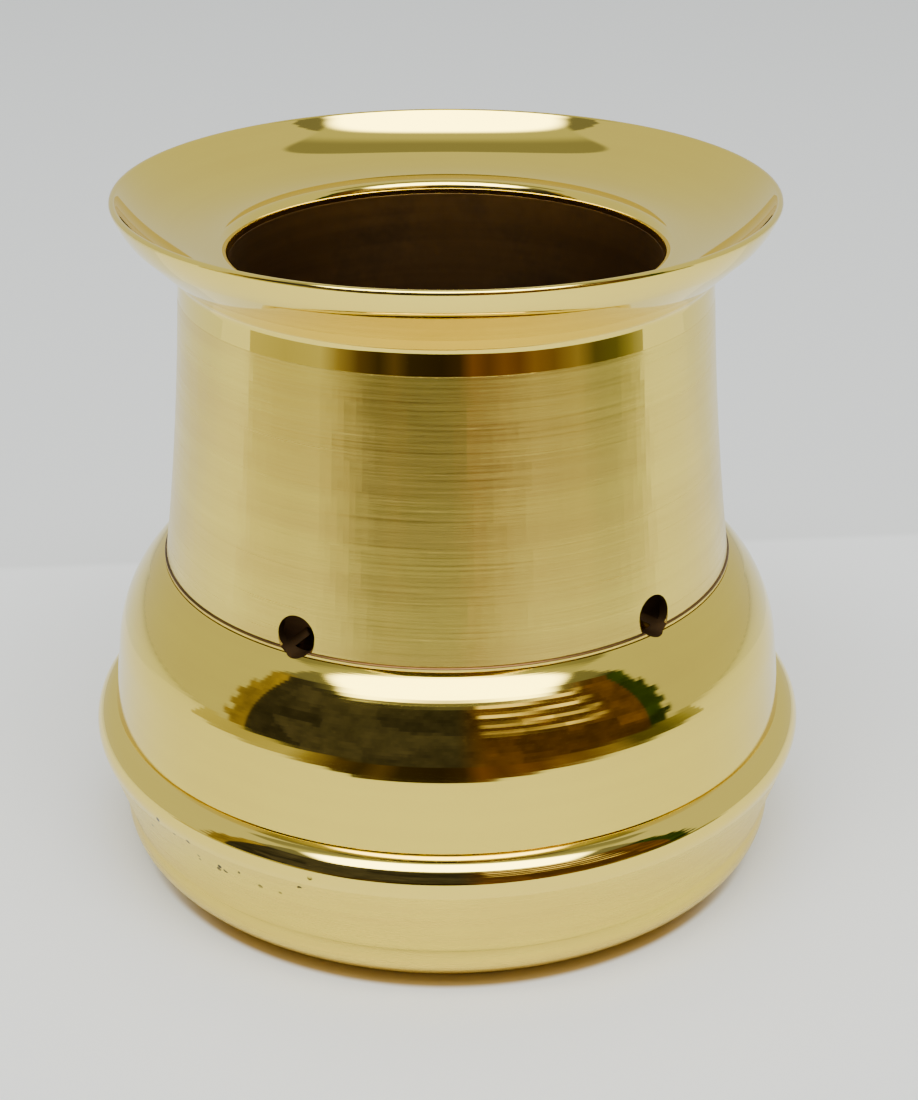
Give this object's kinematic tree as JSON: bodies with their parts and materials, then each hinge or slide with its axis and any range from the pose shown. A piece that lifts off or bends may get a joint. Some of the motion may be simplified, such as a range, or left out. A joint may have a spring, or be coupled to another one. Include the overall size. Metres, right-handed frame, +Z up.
{
  "type": "alcohol spirit stove",
  "caption": "Turned brass spirit stove: flared funnel collar on a tapered flue barrel with air holes, over a rounded shoulder and bowl base holding a lift-out fuel burner.",
  "frame": {"origin": "centre of the foot, on the surface that the stove stands on", "axes": "+Z up along the stove's axis of turning; -Y is the front, between two air holes, a little nearer the left one"},
  "size_m": [0.1216, 0.1216, 0.1124],
  "materials": {
    "polished_brass": "mirror polished",
    "turned_brass": "polished, with fine turning marks",
    "satin_brass": "satin",
    "plain_brass": "plain turned",
    "heat_dulled_brass": "brown and dull from heat",
    "gauze_steel": "drawn wire",
    "wadding": "matted cotton"
  },
  "bodies": {
    "base": {"base_bowl": "satin_brass", "bead_ring": "polished_brass", "burner_seat": "plain_brass", "seat_screws": "plain_brass"},
    "housing": {"flared_collar": "polished_brass", "throat_liner": "heat_dulled_brass", "barrel": "turned_brass", "air_baffle": "plain_brass", "shoulder_dome": "turned_brass", "locating_ring": "plain_brass"},
    "burner": {"burner_cup": "plain_brass", "burner_top": "heat_dulled_brass", "burner_wadding": "wadding", "burner_gauze": "gauze_steel", "gauze_ring": "gauze_steel"}
  },
  "joints": [
    {"name": "housing_lift", "type": "slide", "parent": "base", "child": "housing", "axis": [0, 0, 1], "range_m": [0, 0.035]},
    {"name": "burner_lift", "type": "slide", "parent": "base", "child": "burner", "axis": [0, 0, 1], "range_m": [0, 0.115]}
  ]
}
